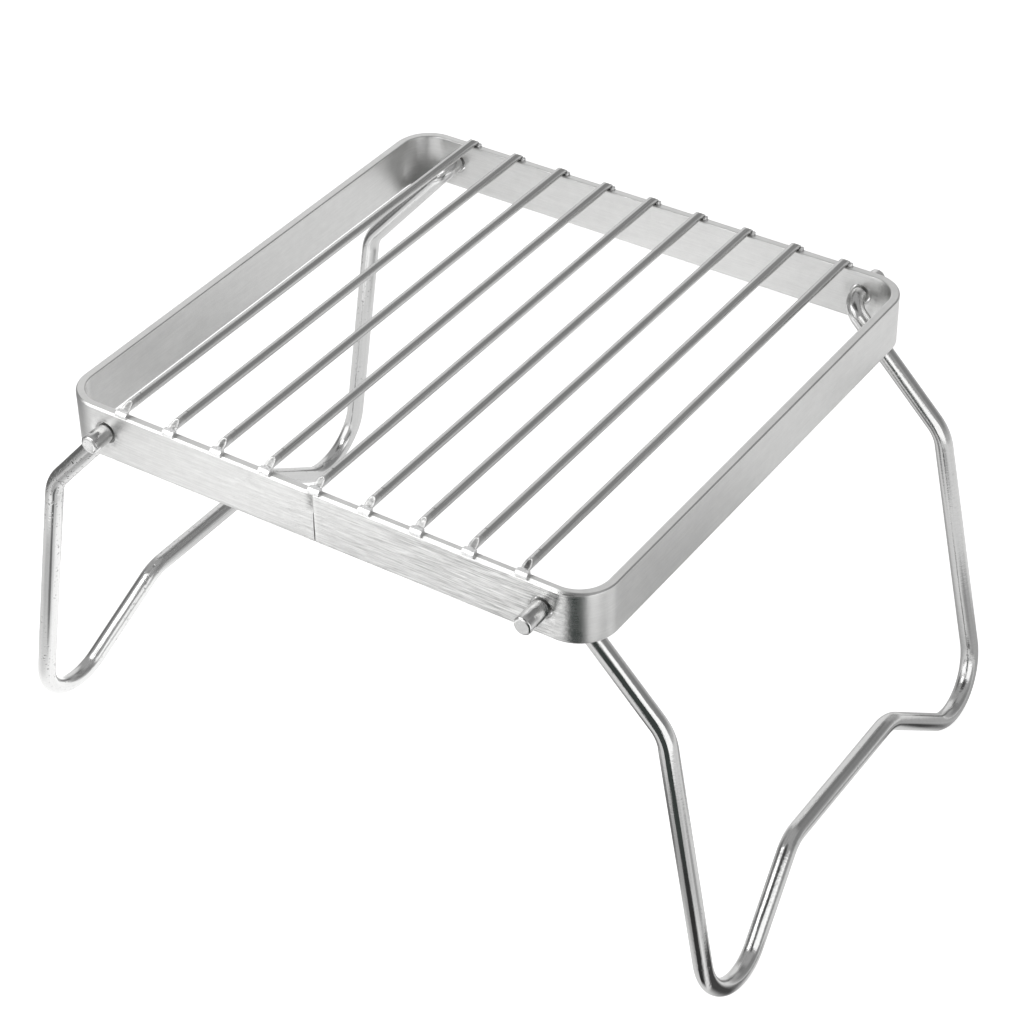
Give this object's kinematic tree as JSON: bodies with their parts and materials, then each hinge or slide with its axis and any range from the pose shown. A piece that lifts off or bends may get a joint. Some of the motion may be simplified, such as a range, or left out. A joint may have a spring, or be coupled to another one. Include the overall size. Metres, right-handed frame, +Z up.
{
  "type": "folding camp grill",
  "caption": "Small square camp grill: a rounded band frame with round rods across the top and two bent wire legs that fold in under it.",
  "frame": {"origin": "on the ground, in the middle of the box round the whole grill as it stands on its feet", "axes": "+Z up, the front wall with the butt seam towards -Y, rods along Y, legs splayed towards +X and -X"},
  "size_m": [0.23, 0.182, 0.1299],
  "materials": {
    "band_satin": "satin stainless flat bar, brushed along its length, with a bright ground edge",
    "rod_satin": "drawn stainless rod, satin and a little darker than the band",
    "weld_bright": "bright ground weld metal",
    "leg_polished": "polished stainless wire with fine draw marks and a few small pits"
  },
  "bodies": {
    "frame": {"frame_band": "band_satin", "grate_rod_1": "rod_satin", "grate_rod_2": "rod_satin", "grate_rod_3": "rod_satin", "grate_rod_4": "rod_satin", "grate_rod_5": "rod_satin", "grate_rod_6": "rod_satin", "grate_rod_7": "rod_satin", "grate_rod_8": "rod_satin", "grate_rod_9": "rod_satin", "weld_front_1": "weld_bright", "weld_front_2": "weld_bright", "weld_front_3": "weld_bright", "weld_front_4": "weld_bright", "weld_front_5": "weld_bright", "weld_front_6": "weld_bright", "weld_front_7": "weld_bright", "weld_front_8": "weld_bright", "weld_front_9": "weld_bright", "weld_rear_1": "weld_bright", "weld_rear_2": "weld_bright", "weld_rear_3": "weld_bright", "weld_rear_4": "weld_bright", "weld_rear_5": "weld_bright", "weld_rear_6": "weld_bright", "weld_rear_7": "weld_bright", "weld_rear_8": "weld_bright", "weld_rear_9": "weld_bright"},
    "right_leg": {"leg_right": "leg_polished"},
    "left_leg": {"leg_left": "leg_polished"}
  },
  "joints": [
    {"name": "right_leg_fold", "type": "hinge", "parent": "frame", "child": "right_leg", "pos_m": [0.06526, 0, 0.12025], "axis": [0, 1, 0], "range_deg": [0, 113]},
    {"name": "left_leg_fold", "type": "hinge", "parent": "frame", "child": "left_leg", "pos_m": [-0.06974, 0, 0.12025], "axis": [0, -1, 0], "range_deg": [0, 99.5]}
  ]
}
